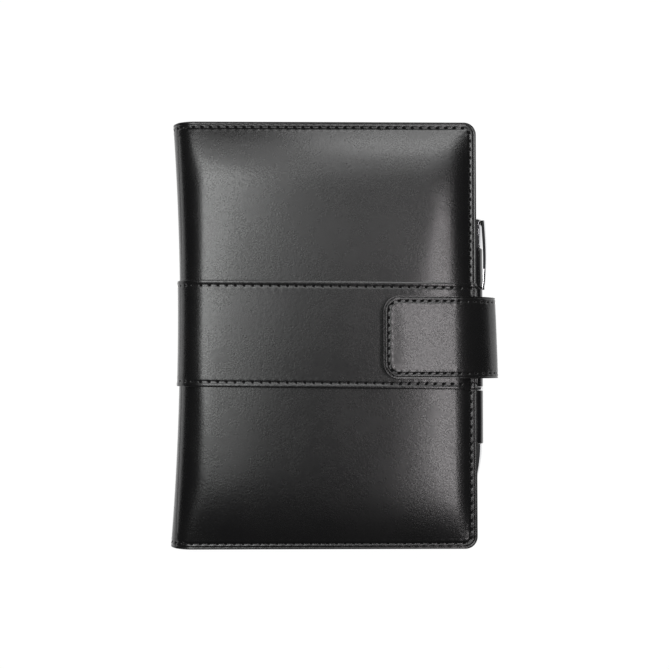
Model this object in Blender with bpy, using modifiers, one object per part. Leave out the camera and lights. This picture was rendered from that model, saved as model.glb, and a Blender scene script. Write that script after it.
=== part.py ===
"""A padded leather notebook cover lying closed on its back, with its notebook, strap and pen.

Metres, +Z up. +X runs from the spine to the fore edge and +Y to the head of the book.
The origin is on the table, under the middle of the cover.
"""

import math

import bmesh
import bpy
from mathutils import Matrix, Vector

# Clearance between neighbouring pieces
GAP = 0.0003

# Cover, spine crease to fore edge and head to tail
PANEL_WIDTH = 0.1466
COVER_LENGTH = 0.2200
CORNER_RADIUS = 0.0063
RIM_WIDTH = 0.0030
ROLL_WIDTH = 0.0080
CREASE_WIDTH = 0.0100

# Half-round spine, drawn in where the strap pulls on it
SPINE_REACH = 0.0123
SPINE_DRAW_IN = 0.0039

# Band sewn across the covers and round the spine
BAND_WIDTH = 0.0547
BAND_SLANT = math.radians(0.6)

# Thickness of each layer
LEATHER = 0.0012
LINING = 0.0007
BAND = 0.0009
FOAM = 0.0020
BOARD = 0.0012
CARD = 0.0005
POCKET = 0.0007
PAGES = 0.0120
SNAP = 0.0006
STRAP_LINING = 0.0009
STRAP_LEATHER = 0.0011

# Notebook and the sleeves that hold its card covers
NOTEBOOK_LENGTH = 0.2100
PAGES_INSET = 0.0061
CARD_INSET = 0.0050
SPINE_STRIP = 0.0006
POCKET_WIDTH = 0.0600
POCKET_INSET = 0.0015
POCKET_SEAM = 0.0015
POCKET_STEP = 0.0015
POCKET_RADIUS = 0.0050

# Strap from the back rim round the fore edge to the tab on the front
STRAP_WIDTH = 0.0418
STRAP_Y = -0.0018
STRAP_STANDOFF = 0.0124
STRAP_BEND_INSET = 0.0086
STRAP_HINGE_TURN = math.radians(40)
STRAP_ROOT_WIDTH = 0.0060
TAB_REACH = 0.0488
TAB_RADIUS = 0.0080
SNAP_RADIUS = 0.0070
SNAP_INSET = 0.0180

# Twist pen and its loop
PEN_RADIUS = 0.0046
PEN_EDGE_OFFSET = 0.0003
PEN_TOP_Y = 0.0600
PEN_LENGTH = 0.1370
CAP_LENGTH = 0.0157
UPPER_LENGTH = 0.0725
RING_LENGTH = 0.0014
RING_PROUD = 0.0001
LOWER_LENGTH = 0.0276
BARREL_WALL = 0.0009
REFILL_RADIUS = 0.0016
REFILL_TRAVEL = 0.0030
POINT_RADIUS = 0.0005
TIP_RADIUS = 0.0012
CLIP_TURN = math.radians(42)
CLIP_LENGTH = 0.0365
CLIP_WIDTH = 0.0030
CLIP_THICKNESS = 0.0007
CLIP_STANDOFF = 0.0013
LOOP_LENGTH = 0.0320
LOOP_WALL = 0.0009
LOOP_EASE = 0.0006

# Facets of round pieces
ROLL_CUTS = 5
SPINE_CUTS = 8
SPINE_LENGTH_CUTS = 12
STRAP_CUTS = 8
TURNED_STEPS = 20
LOOP_STEPS = 24

# Layers of the closed book from the table up
LAYERS = (
    ("back_band", BAND),
    ("back_leather", LEATHER),
    ("back_foam", FOAM),
    ("back_board", BOARD),
    ("back_lining", LINING),
    ("back_card", CARD),
    ("back_pocket", POCKET),
    ("pages", PAGES),
    ("front_pocket", POCKET),
    ("front_card", CARD),
    ("front_lining", LINING),
    ("front_board", BOARD),
    ("front_foam", FOAM),
    ("front_leather", LEATHER),
    ("front_band", BAND),
    ("snap_stud", SNAP),
    ("snap_socket", SNAP),
    ("tab_lining", STRAP_LINING),
    ("tab_leather", STRAP_LEATHER),
)
LEVEL = {}
height = 0.0
for layer, thickness in LAYERS:
    LEVEL[layer] = (height, height + thickness)
    height += thickness + GAP

# Places that follow from the sizes
FORE_X = PANEL_WIDTH / 2
CREASE_X = -FORE_X
HALF_LENGTH = COVER_LENGTH / 2
MIDDLE_Z = sum(LEVEL["pages"]) / 2
CROWN = FOAM + BOARD + 2 * GAP
SPINE_HALF = MIDDLE_Z - LEVEL["back_leather"][0] - CROWN
STRAP = STRAP_LEATHER + GAP + STRAP_LINING
STRAP_TOP_Z = LEVEL["tab_leather"][1]
STRAP_ROOT_Z = LEVEL["back_band"][0] + CROWN - GAP - STRAP
STRAP_MIDDLE_Z = (STRAP_TOP_Z + STRAP_ROOT_Z) / 2
STRAP_HALF = (STRAP_TOP_Z - STRAP_ROOT_Z) / 2
STRAP_BEND_X = FORE_X - STRAP_BEND_INSET
STRAP_ROOT_X = FORE_X + GAP / 2
STRAP_BEND_REACH = STRAP_STANDOFF + STRAP_BEND_INSET
STRAP_BEND_RADIUS = (STRAP_BEND_REACH + STRAP_HALF) / 2
PEN_X = FORE_X + PEN_EDGE_OFFSET
PEN_Z = MIDDLE_Z

# Finishes as colour, roughness and metallic value
BLACK_LEATHER = ((0.012, 0.012, 0.013), 0.42, 0.0)
BLACK_LINING = ((0.016, 0.016, 0.017), 0.70, 0.0)
GREY_FOAM = ((0.22, 0.22, 0.22), 0.90, 0.0)
GREY_BOARD = ((0.30, 0.28, 0.25), 0.85, 0.0)
BLACK_CARD = ((0.020, 0.020, 0.021), 0.65, 0.0)
PAPER = ((0.86, 0.84, 0.78), 0.80, 0.0)
BLACK_LACQUER = ((0.008, 0.008, 0.009), 0.22, 0.0)
CHROME = ((0.78, 0.78, 0.79), 0.10, 1.0)
NICKEL = ((0.60, 0.59, 0.57), 0.28, 1.0)
BRASS = ((0.62, 0.50, 0.28), 0.32, 1.0)


def start_empty():
    """Clear the scene and make the collection that holds the cover."""
    for old in list(bpy.data.objects):
        bpy.data.objects.remove(old, do_unlink=True)
    group = bpy.data.collections.new("leather_notebook_cover")
    bpy.context.scene.collection.children.link(group)
    return group


def add_pivot(group, name, place, parent=None):
    """An empty on a body's joint axis, at a place in the world."""
    pivot = bpy.data.objects.new(name, None)
    group.objects.link(pivot)
    pivot["place"] = place
    pivot.location = Vector(place)
    if parent:
        pivot.parent = parent
        pivot.location = Vector(place) - Vector(parent["place"])
    return pivot


def finish_of(name, finish):
    """The piece's own material."""
    colour, roughness, metallic = finish
    made = bpy.data.materials.new(name + "_finish")
    made.use_nodes = True
    shader = made.node_tree.nodes["Principled BSDF"]
    shader.inputs["Base Color"].default_value = (*colour, 1.0)
    shader.inputs["Roughness"].default_value = roughness
    shader.inputs["Metallic"].default_value = metallic
    return made


def add_piece(name, data, finish, pivot):
    """An object on a body's pivot whose mesh or curve is drawn in world places."""
    piece = bpy.data.objects.new(name, data)
    pivot.users_collection[0].objects.link(piece)
    piece.parent = pivot
    piece.location = -Vector(pivot["place"])
    data.materials.append(finish_of(name, finish))
    return piece


def as_mesh(shape, name, smooth=True):
    """Turn a finished bmesh into mesh data with its faces out."""
    if shape.calc_volume(signed=True) < 0.0:
        bmesh.ops.reverse_faces(shape, faces=shape.faces)
    data = bpy.data.meshes.new(name)
    shape.to_mesh(data)
    shape.free()
    if smooth:
        data.shade_smooth()
        data.set_sharp_from_angle(angle=math.radians(35))
    return data


def ease(share):
    """A soft step from 0 to 1."""
    share = min(max(share, 0.0), 1.0)
    return share * share * (3.0 - 2.0 * share)


def spread(start, end, count):
    """Evenly spaced places between two ends, without the ends."""
    return [start + (end - start) * step / count for step in range(1, count)]


def slab(x_range, y_range, x_cuts=(), y_cuts=(), corner=0.0, at_low_x=False):
    """A slab with z from 0 to 1, cut across at the given places, two of its corners rounded."""
    shape = bmesh.new()
    bmesh.ops.create_cube(shape, size=1.0)
    size = Vector((x_range[1] - x_range[0], y_range[1] - y_range[0], 1.0))
    middle = Vector((sum(x_range) / 2, sum(y_range) / 2, 0.5))
    bmesh.ops.transform(shape, matrix=Matrix.LocRotScale(middle, None, size), verts=shape.verts)
    if corner:
        end_x = x_range[0] if at_low_x else x_range[1]
        upright = [
            edge
            for edge in shape.edges
            if all(abs(v.co.x - end_x) < GAP for v in edge.verts)
            and abs(edge.verts[0].co.z - edge.verts[1].co.z) > 0.5
        ]
        bmesh.ops.bevel(
            shape, geom=upright, offset=corner, segments=6, profile=0.5, affect="EDGES"
        )
    planes = [((x, 0, 0), (1, 0, 0)) for x in x_cuts]
    planes += [((0, y, 0), (0, 1, 0)) for y in y_cuts]
    for place, normal in planes:
        everything = shape.verts[:] + shape.edges[:] + shape.faces[:]
        bmesh.ops.bisect_plane(shape, geom=everything, plane_co=place, plane_no=normal)
    return shape


def form(shape, rule):
    """Move each point of a slab to where the rule puts it. Its z is the share of the thickness."""
    for vert in shape.verts:
        vert.co = rule(*vert.co)
    return shape


def flip_to_front(shape):
    """Turn a piece of the back cover over into its twin on the front."""
    for vert in shape.verts:
        vert.co.z = 2 * MIDDLE_Z - vert.co.z
    return shape


def padding(x, y):
    """How full the padding is at a point of a cover, from 0 on the rim to 1 on the crown."""
    fore = (FORE_X - x - RIM_WIDTH) / ROLL_WIDTH
    ends = (HALF_LENGTH - abs(y) - RIM_WIDTH) / ROLL_WIDTH
    crease = (x - CREASE_X) / CREASE_WIDTH
    return ease(fore) * ease(ends) * ease(crease)


def rim_drop(x, y):
    """How far a cover's face has sunk from the crown towards the rim."""
    return CROWN * (1.0 - padding(x, y))


PANEL_X = (CREASE_X + GAP / 2, FORE_X)
FORE_CUTS = spread(FORE_X - RIM_WIDTH, FORE_X - RIM_WIDTH - ROLL_WIDTH, ROLL_CUTS)
FORE_CUTS += [FORE_X - RIM_WIDTH, FORE_X - RIM_WIDTH - ROLL_WIDTH]
CREASE_CUTS = spread(CREASE_X, CREASE_X + CREASE_WIDTH, ROLL_CUTS) + [CREASE_X + CREASE_WIDTH]
HEAD_CUTS = spread(HALF_LENGTH - RIM_WIDTH, HALF_LENGTH - RIM_WIDTH - ROLL_WIDTH, ROLL_CUTS)
HEAD_CUTS += [HALF_LENGTH - RIM_WIDTH, HALF_LENGTH - RIM_WIDTH - ROLL_WIDTH]
END_CUTS = HEAD_CUTS + [-y for y in HEAD_CUTS]


def panel_leather():
    """The outer leather: a flat stitched rim that rolls up on to the padded crown."""
    bottom = LEVEL["back_leather"][0]
    shape = slab(
        PANEL_X, (-HALF_LENGTH, HALF_LENGTH), FORE_CUTS + CREASE_CUTS, END_CUTS, CORNER_RADIUS
    )
    return form(shape, lambda x, y, t: (x, y, bottom + rim_drop(x, y) + t * LEATHER))


def panel_band():
    """The sewn band, lying on the leather and a little out of square."""
    bottom = LEVEL["back_band"][0]
    shape = slab(PANEL_X, (-BAND_WIDTH / 2, BAND_WIDTH / 2), FORE_CUTS + CREASE_CUTS)
    return form(
        shape,
        lambda x, y, t: (x, y - x * math.tan(BAND_SLANT), bottom + rim_drop(x, 0) + t * BAND),
    )


def flat_layer(layer, inset, crease_inset, corner):
    """A flat layer of the cover, set in from the rim."""
    bottom, top = LEVEL[layer]
    half = HALF_LENGTH - inset
    shape = slab(
        (CREASE_X + crease_inset, FORE_X - inset), (-half, half), corner=corner
    )
    return form(shape, lambda x, y, t: (x, y, bottom + t * (top - bottom)))


def panel_foam():
    """The foam pad under the crown."""
    return flat_layer("back_foam", RIM_WIDTH + ROLL_WIDTH, CREASE_WIDTH, CORNER_RADIUS)


def panel_board():
    """The stiffening board, which reaches under the roll of the leather."""
    return flat_layer(
        "back_board", RIM_WIDTH + 0.6 * ROLL_WIDTH, 0.6 * CREASE_WIDTH, CORNER_RADIUS
    )


def panel_lining():
    """The lining, sewn to the leather along the rim."""
    return flat_layer("back_lining", 0.0, GAP / 2, CORNER_RADIUS)


def panel_pocket():
    """The sleeve over the notebook's card, sewn down to the lining on three sides."""
    bottom = LEVEL["back_pocket"][0]
    sunk = CARD + GAP
    fore = FORE_X - POCKET_INSET
    half = HALF_LENGTH - POCKET_INSET
    steps = [POCKET_SEAM, POCKET_SEAM + POCKET_STEP]

    def rule(x, y, t):
        to_edge = min(fore - x, half - abs(y))
        return (x, y, bottom - sunk * (1.0 - ease((to_edge - POCKET_SEAM) / POCKET_STEP)) + t * POCKET)

    shape = slab(
        (FORE_X - POCKET_INSET - POCKET_WIDTH, fore),
        (-half, half),
        [fore - step for step in steps],
        [side * (half - step) for step in steps for side in (-1, 1)],
        POCKET_RADIUS,
    )
    return form(shape, rule)


def notebook_card():
    """One card cover of the notebook, tucked under the sleeve."""
    bottom, top = LEVEL["back_card"]
    half = NOTEBOOK_LENGTH / 2
    shape = slab((CREASE_X + GAP, FORE_X - CARD_INSET), (-half, half), corner=POCKET_RADIUS)
    return form(shape, lambda x, y, t: (x, y, bottom + t * (top - bottom)))


def page_block():
    """The notebook's pages."""
    bottom, top = LEVEL["pages"]
    half = NOTEBOOK_LENGTH / 2
    shape = slab((CREASE_X, FORE_X - PAGES_INSET), (-half, half), corner=POCKET_RADIUS)
    return form(shape, lambda x, y, t: (x, y, bottom + t * (top - bottom)))


def notebook_spine_strip():
    """The strip glued over the backs of the pages."""
    bottom, top = LEVEL["pages"]
    half = NOTEBOOK_LENGTH / 2
    shape = slab((CREASE_X - GAP - SPINE_STRIP, CREASE_X - GAP), (-half, half))
    return form(shape, lambda x, y, t: (x, y, bottom + t * (top - bottom)))


def spine_shell(outward, thickness, half_width, length_cuts, slant):
    """The lower quarter of the spine, outward of the leather's face by the given amount."""

    def rule(turn, y, t):
        grown = outward - (1.0 - t) * thickness
        drawn = SPINE_DRAW_IN * (0.5 + 0.5 * math.cos(math.pi * y / HALF_LENGTH))
        reach = SPINE_REACH - drawn + grown - GAP / 2
        drop = SPINE_HALF + grown - GAP / 2
        x = CREASE_X - GAP / 2 - reach * math.sin(turn)
        z = MIDDLE_Z - GAP / 2 - drop * math.cos(turn)
        return (x, y - x * math.tan(slant), z)

    quarter = math.pi / 2
    shape = slab(
        (0.0, quarter),
        (-half_width, half_width),
        spread(0.0, quarter, SPINE_CUTS),
        spread(-half_width, half_width, length_cuts),
    )
    return form(shape, rule)


def spine_leather():
    """A quarter of the spine's leather."""
    return spine_shell(0.0, LEATHER, HALF_LENGTH, SPINE_LENGTH_CUTS, 0.0)


def spine_lining():
    """A quarter of the spine's lining."""
    return spine_shell(-LEATHER - GAP, LINING, HALF_LENGTH, SPINE_LENGTH_CUTS, 0.0)


def spine_band():
    """A quarter of the band's run round the spine."""
    return spine_shell(GAP + BAND, BAND, BAND_WIDTH / 2, ROLL_CUTS, BAND_SLANT)


def strap_point(run, depth):
    """A point of the strap: how far it has run past the flat tab, and how deep under its outer face."""
    turn = max(run, 0.0) / STRAP_BEND_RADIUS
    middle, reach = STRAP_BEND_X, STRAP_BEND_REACH
    if turn > math.pi / 2:
        middle, reach = STRAP_ROOT_X, FORE_X + STRAP_STANDOFF - STRAP_ROOT_X
    outward = Vector((math.sin(turn) / reach, math.cos(turn) / STRAP_HALF)).normalized()
    x = middle + min(run, 0.0) + reach * math.sin(turn)
    z = STRAP_MIDDLE_Z + STRAP_HALF * math.cos(turn)
    return (x - outward.x * depth, z - outward.y * depth)


STRAP_HINGE_RUN = STRAP_HINGE_TURN * STRAP_BEND_RADIUS
STRAP_END_RUN = math.pi * STRAP_BEND_RADIUS
TAB_END_RUN = FORE_X - TAB_REACH - STRAP_BEND_X
STRAP_EDGES = (STRAP_Y - STRAP_WIDTH / 2, STRAP_Y + STRAP_WIDTH / 2)


def strap_layer(run_range, cuts, depth, thickness, corner=0.0):
    """A layer of the strap along part of its run, its free corners rounded where asked."""
    shape = slab(run_range, STRAP_EDGES, cuts, (), corner, at_low_x=True)

    def rule(run, y, t):
        x, z = strap_point(run, depth + (1.0 - t) * thickness)
        return (x, y, z)

    return form(shape, rule)


def strap_tab(depth, thickness):
    """A layer of the tab, from its rounded end to the fold over the fore edge."""
    end = STRAP_HINGE_RUN - GAP / 2
    cuts = [0.0] + spread(0.0, end, STRAP_CUTS // 2)
    return strap_layer((TAB_END_RUN, end), cuts, depth, thickness, TAB_RADIUS)


def strap_side(depth, thickness):
    """A layer of the strap's side, from the fold down to the back rim."""
    start = STRAP_HINGE_RUN + GAP / 2
    cuts = spread(start, STRAP_END_RUN, STRAP_CUTS)
    return strap_layer((start, STRAP_END_RUN), cuts, depth, thickness)


def strap_root():
    """The strap's skived end, sewn to the band under the back rim."""
    start = FORE_X - STRAP_ROOT_WIDTH
    cuts = [x for x in FORE_CUTS if x > start]
    shape = slab((start, FORE_X - GAP / 2), STRAP_EDGES, cuts)

    def rule(x, y, t):
        top = LEVEL["back_band"][0] + rim_drop(x, 0) - GAP
        return (x, y, STRAP_ROOT_Z + t * (top - STRAP_ROOT_Z))

    return form(shape, rule)


def snap_half(layer):
    """One half of the concealed magnetic snap, a disc with eased edges."""
    bottom, top = LEVEL[layer]
    shape = bmesh.new()
    bmesh.ops.create_cone(
        shape,
        cap_ends=True,
        segments=TURNED_STEPS,
        radius1=SNAP_RADIUS,
        radius2=SNAP_RADIUS,
        depth=top - bottom,
    )
    place = Vector((FORE_X - TAB_REACH + SNAP_INSET, STRAP_Y, (bottom + top) / 2))
    bmesh.ops.translate(shape, vec=place, verts=shape.verts)
    rims = [edge for edge in shape.edges if abs(edge.verts[0].co.z - edge.verts[1].co.z) < GAP / 2]
    bmesh.ops.bevel(
        shape, geom=rims, offset=SNAP / 4, segments=1, profile=0.5, affect="EDGES"
    )
    return shape


def turned(name, profile, finish, pivot, closed=True):
    """A piece turned about the pen's axis. The profile is (radius, y) down its outer side and back up."""
    points = [Vector((radius, 0.0, y)) for radius, y in profile]
    edges = [(n, n + 1) for n in range(len(points) - 1)]
    if closed:
        edges.append((len(points) - 1, 0))
    data = bpy.data.meshes.new(name)
    data.from_pydata(points, edges, [])
    piece = add_piece(name, data, finish, pivot)
    piece.location = Vector((PEN_X, 0.0, PEN_Z)) - Vector(pivot["place"])
    piece.rotation_euler = (-math.pi / 2, 0.0, 0.0)
    screw = piece.modifiers.new("turn", "SCREW")
    screw.steps = TURNED_STEPS
    screw.render_steps = TURNED_STEPS
    screw.use_merge_vertices = True
    screw.merge_threshold = 0.00001
    screw.use_smooth_shade = True
    return piece


CAP_END_Y = PEN_TOP_Y - CAP_LENGTH
UPPER_TOP_Y = CAP_END_Y - GAP
UPPER_END_Y = UPPER_TOP_Y - UPPER_LENGTH
RING_TOP_Y = UPPER_END_Y - GAP
RING_END_Y = RING_TOP_Y - RING_LENGTH
LOWER_TOP_Y = RING_END_Y - GAP
LOWER_END_Y = LOWER_TOP_Y - LOWER_LENGTH
CONE_TOP_Y = LOWER_END_Y - GAP
PEN_TIP_Y = PEN_TOP_Y - PEN_LENGTH
PEN_BORE = PEN_RADIUS - BARREL_WALL


def tube_profile(radius, bore, top, end, ease_by):
    """A tube's profile, its outer edges eased."""
    return [
        (bore, top),
        (radius - ease_by, top),
        (radius, top - ease_by),
        (radius, end + ease_by),
        (radius - ease_by, end),
        (bore, end),
    ]


def pen_cap(pivot):
    """The chrome cap, domed at its top."""
    dome = 0.35 * PEN_RADIUS
    arc = [math.radians(angle) for angle in (0, 30, 60, 90)]
    profile = [
        ((PEN_RADIUS - dome) + dome * math.sin(a), PEN_TOP_Y - dome + dome * math.cos(a)) for a in arc
    ]
    profile = [(0.0, PEN_TOP_Y)] + profile
    profile += [(PEN_RADIUS, CAP_END_Y), (PEN_BORE, CAP_END_Y)]
    profile += [(PEN_BORE, PEN_TOP_Y - dome - BARREL_WALL), (0.0, PEN_TOP_Y - dome - BARREL_WALL)]
    return turned("pen_cap", profile, CHROME, pivot, closed=False)


def pen_cone(pivot):
    """The chrome cone, bored for the point of the refill."""
    length = CONE_TOP_Y - PEN_TIP_Y
    shoulder = PEN_RADIUS - 2 * GAP
    flare = [
        (TIP_RADIUS + (shoulder - TIP_RADIUS) * math.sin(math.pi / 2 * share), PEN_TIP_Y + share * length)
        for share in (1.0, 0.7, 0.4, 0.0)
    ]
    bore_end = PEN_TIP_Y + 0.25 * length
    bore = REFILL_RADIUS + GAP
    throat = POINT_RADIUS + GAP
    profile = [(bore, CONE_TOP_Y)] + flare
    profile += [(throat, PEN_TIP_Y), (throat, bore_end), (bore, bore_end + bore)]
    return turned("pen_tip_cone", profile, CHROME, pivot)


def pen_refill(pivot):
    """The brass refill, its point just inside the cone while the pen is shut."""
    length = CONE_TOP_Y - PEN_TIP_Y
    shoulder = PEN_TIP_Y + 0.25 * length + REFILL_RADIUS + REFILL_TRAVEL + 4 * GAP
    top = UPPER_TOP_Y - BARREL_WALL
    profile = [
        (0.0, top),
        (REFILL_RADIUS, top),
        (REFILL_RADIUS, shoulder),
        (POINT_RADIUS, shoulder - REFILL_RADIUS),
        (POINT_RADIUS, PEN_TIP_Y + 2 * GAP),
        (0.0, PEN_TIP_Y + GAP),
    ]
    return turned("pen_refill", profile, BRASS, pivot, closed=False)


def outline_piece(name, outlines, thickness, frame, finish, pivot):
    """A flat outline, with holes if it has more than one ring, given a thickness in its own frame."""
    data = bpy.data.curves.new(name, "CURVE")
    data.dimensions = "2D"
    data.fill_mode = "BOTH"
    data.extrude = thickness / 2
    for ring in outlines:
        spline = data.splines.new("POLY")
        spline.points.add(len(ring) - 1)
        for point, (u, v) in zip(spline.points, ring):
            point.co = (u, v, 0.0, 1.0)
        spline.use_cyclic_u = True
    piece = add_piece(name, data, finish, pivot)
    placed = Matrix.Translation(-Vector(pivot["place"])) @ frame
    piece.location = placed.to_translation()
    piece.rotation_euler = placed.to_euler()
    return piece


def pen_clip(pivot):
    """The spring clip, which stands off the barrel and bends back to it at its foot."""
    low = PEN_RADIUS + GAP
    inner = PEN_RADIUS + CLIP_STANDOFF
    outer = inner + CLIP_THICKNESS
    start = 2 * GAP + CLIP_THICKNESS
    end = start + CLIP_LENGTH
    foot = 4 * CLIP_THICKNESS
    outline = [
        (start, low),
        (start, outer - CLIP_THICKNESS / 2),
        (start + CLIP_THICKNESS / 2, outer),
        (end - CLIP_THICKNESS, outer),
        (end, inner),
        (end - CLIP_THICKNESS, low + GAP),
        (end - foot / 2, low + GAP),
        (end - foot, inner),
        (start + foot, inner),
        (start + foot - CLIP_THICKNESS / 2, low),
    ]
    down = Vector((0.0, -1.0, 0.0))
    out = Vector((math.cos(CLIP_TURN), 0.0, math.sin(CLIP_TURN)))
    frame = Matrix((down, out, down.cross(out))).transposed().to_4x4()
    frame.translation = (PEN_X, PEN_TOP_Y, PEN_Z)
    return outline_piece("pen_clip", [outline], CLIP_WIDTH, frame, CHROME, pivot)


def pen_loop(pivot):
    """The leather loop that holds the pen, its foot sewn over the sleeve's seam."""
    bore = PEN_RADIUS + LOOP_EASE
    outer = bore + LOOP_WALL
    foot_end = FORE_X
    foot_start = FORE_X - POCKET_INSET - POCKET_SEAM
    foot_z = LEVEL["back_pocket"][1] - CARD
    leave = 2 * math.pi - math.acos((foot_end - PEN_X) / outer)
    back = 2 * math.pi - math.acos((foot_start - PEN_X) / outer) + 2 * math.pi
    turns = [leave] + spread(leave, back, LOOP_STEPS) + [back]
    ring = [(PEN_X + outer * math.cos(a), PEN_Z + outer * math.sin(a)) for a in turns]
    ring += [(foot_start, foot_z), (foot_end, foot_z)]
    hole = [2 * math.pi * step / LOOP_STEPS for step in range(LOOP_STEPS)]
    hole = [(PEN_X + bore * math.cos(a), PEN_Z + bore * math.sin(a)) for a in hole]
    frame = Matrix.Translation((0.0, STRAP_Y, 0.0)) @ Matrix.Rotation(math.pi / 2, 4, "X")
    return outline_piece("pen_loop", [ring, hole], LOOP_LENGTH, frame, BLACK_LEATHER, pivot)


def build_covers(back, front):
    """Both covers, layer by layer. Each front layer is its back twin turned over."""
    layers = (
        ("leather", panel_leather, BLACK_LEATHER),
        ("band", panel_band, BLACK_LEATHER),
        ("foam", panel_foam, GREY_FOAM),
        ("board", panel_board, GREY_BOARD),
        ("lining", panel_lining, BLACK_LINING),
        ("pocket", panel_pocket, BLACK_LINING),
    )
    for part, make, finish in layers:
        add_piece("back_" + part, as_mesh(make(), part), finish, back)
        add_piece("front_" + part, as_mesh(flip_to_front(make()), part), finish, front)


def build_notebook(back, front):
    """The notebook: its pages and back card stay, its front card opens with the cover."""
    add_piece("notebook_back_card", as_mesh(notebook_card(), "card"), BLACK_CARD, back)
    front_card = flip_to_front(notebook_card())
    add_piece("notebook_front_card", as_mesh(front_card, "card"), BLACK_CARD, front)
    add_piece("page_block", as_mesh(page_block(), "pages"), PAPER, back)
    add_piece("notebook_spine_strip", as_mesh(notebook_spine_strip(), "strip"), BLACK_CARD, back)


def build_spine(lower, upper):
    """The spine in two quarters, so that it can open out flat."""
    layers = (
        ("leather", spine_leather, BLACK_LEATHER),
        ("lining", spine_lining, BLACK_LINING),
        ("band", spine_band, BLACK_LEATHER),
    )
    for part, make, finish in layers:
        add_piece("spine_lower_" + part, as_mesh(make(), part), finish, lower)
        add_piece("spine_upper_" + part, as_mesh(flip_to_front(make()), part), finish, upper)


def build_strap(back, side, tab, front):
    """The strap, its sewn end and the snap that holds its tab."""
    under = STRAP_LEATHER + GAP
    add_piece("strap_root", as_mesh(strap_root(), "root"), BLACK_LEATHER, back)
    for part, depth, thickness, finish in (
        ("leather", 0.0, STRAP_LEATHER, BLACK_LEATHER),
        ("lining", under, STRAP_LINING, BLACK_LINING),
    ):
        side_layer = as_mesh(strap_side(depth, thickness), part)
        add_piece("strap_side_" + part, side_layer, finish, side)
        tab_layer = as_mesh(strap_tab(depth, thickness), part)
        add_piece("strap_tab_" + part, tab_layer, finish, tab)
    add_piece("snap_stud", as_mesh(snap_half("snap_stud"), "stud"), NICKEL, front)
    add_piece("snap_socket", as_mesh(snap_half("snap_socket"), "socket"), NICKEL, tab)


def build_pen(upper, lower, refill):
    """The twist pen in its two halves, with its refill."""
    pen_cap(upper)
    pen_clip(upper)
    barrel = tube_profile(PEN_RADIUS, PEN_BORE, UPPER_TOP_Y, UPPER_END_Y, GAP)
    turned("pen_upper_barrel", barrel, BLACK_LACQUER, upper)
    ring = tube_profile(PEN_RADIUS + RING_PROUD, PEN_BORE, RING_TOP_Y, RING_END_Y, GAP / 2)
    turned("pen_ring", ring, CHROME, upper)
    barrel = tube_profile(PEN_RADIUS, PEN_BORE, LOWER_TOP_Y, LOWER_END_Y, GAP)
    turned("pen_lower_barrel", barrel, BLACK_LACQUER, lower)
    pen_cone(lower)
    pen_refill(refill)


def main():
    """Build the cover body by body."""
    group = start_empty()
    band_z = LEVEL["back_band"][0] + CROWN
    hinge_x, hinge_z = strap_point(STRAP_HINGE_RUN, 0.0)
    back = add_pivot(group, "back_cover", (0.0, 0.0, 0.0))
    spine_lower = add_pivot(group, "spine_lower", (CREASE_X, 0.0, band_z), back)
    spine_middle = (CREASE_X - SPINE_REACH, 0.0, MIDDLE_Z)
    spine_upper = add_pivot(group, "spine_upper", spine_middle, spine_lower)
    front_crease = (CREASE_X, 0.0, 2 * MIDDLE_Z - band_z)
    front = add_pivot(group, "front_cover", front_crease, spine_upper)
    side = add_pivot(group, "strap_side", (STRAP_ROOT_X, STRAP_Y, STRAP_ROOT_Z), back)
    tab = add_pivot(group, "strap_tab", (hinge_x, STRAP_Y, hinge_z), side)
    pen_upper = add_pivot(group, "pen_upper", (PEN_X, STRAP_Y, PEN_Z), back)
    pen_lower = add_pivot(group, "pen_lower", (PEN_X, RING_END_Y, PEN_Z), pen_upper)
    refill = add_pivot(group, "pen_refill_body", (PEN_X, RING_END_Y, PEN_Z), pen_upper)
    build_covers(back, front)
    build_notebook(back, front)
    build_spine(spine_lower, spine_upper)
    build_strap(back, side, tab, front)
    pen_loop(back)
    build_pen(pen_upper, pen_lower, refill)


main()
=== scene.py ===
# %% [markdown]
# # A padded leather notebook cover, dressed for its photograph
#
# The construction comes packed as a fixed frame: every board, crease and pen barrel already has its
# size and place. This lesson puts the leather, the sewing and the metal on it. All lengths below are
# written in millimetres and turned into metres where a mesh is made.

# %% Load the frame
import math

import bmesh
import bpy
import numpy as np
from mathutils import Matrix, Vector
from mathutils.kdtree import KDTree


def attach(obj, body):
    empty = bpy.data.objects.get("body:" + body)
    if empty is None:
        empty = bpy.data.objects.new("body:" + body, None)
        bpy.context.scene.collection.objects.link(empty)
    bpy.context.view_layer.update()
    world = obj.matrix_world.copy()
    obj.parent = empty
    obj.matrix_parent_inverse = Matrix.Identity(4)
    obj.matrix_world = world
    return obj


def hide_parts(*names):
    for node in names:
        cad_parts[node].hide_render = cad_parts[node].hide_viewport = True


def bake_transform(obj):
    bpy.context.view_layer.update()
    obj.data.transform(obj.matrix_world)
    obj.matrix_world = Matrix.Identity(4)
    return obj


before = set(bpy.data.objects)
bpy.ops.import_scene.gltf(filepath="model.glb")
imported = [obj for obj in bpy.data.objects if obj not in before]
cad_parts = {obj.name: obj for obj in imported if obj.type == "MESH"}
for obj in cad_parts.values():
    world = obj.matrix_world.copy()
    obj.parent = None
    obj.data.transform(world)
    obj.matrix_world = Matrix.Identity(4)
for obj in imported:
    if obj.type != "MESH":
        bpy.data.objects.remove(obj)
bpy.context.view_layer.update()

MM = 0.001

# %% [markdown]
# ## The camera
#
# The photograph looks almost straight down, from a little towards the spine and the tail. The cover's
# known length over its length in the picture gives the scale, and the slight spread of its sides gives
# the distance.

# %% Camera
RIM_Z = 25.6
camera_distance = 450.0
frame_width = 344.4
camera_aim = Vector((-0.1, -0.2, RIM_Z))
sensor = 36.0
towards_spine, towards_tail = math.radians(0.8), math.radians(1.7)

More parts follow.
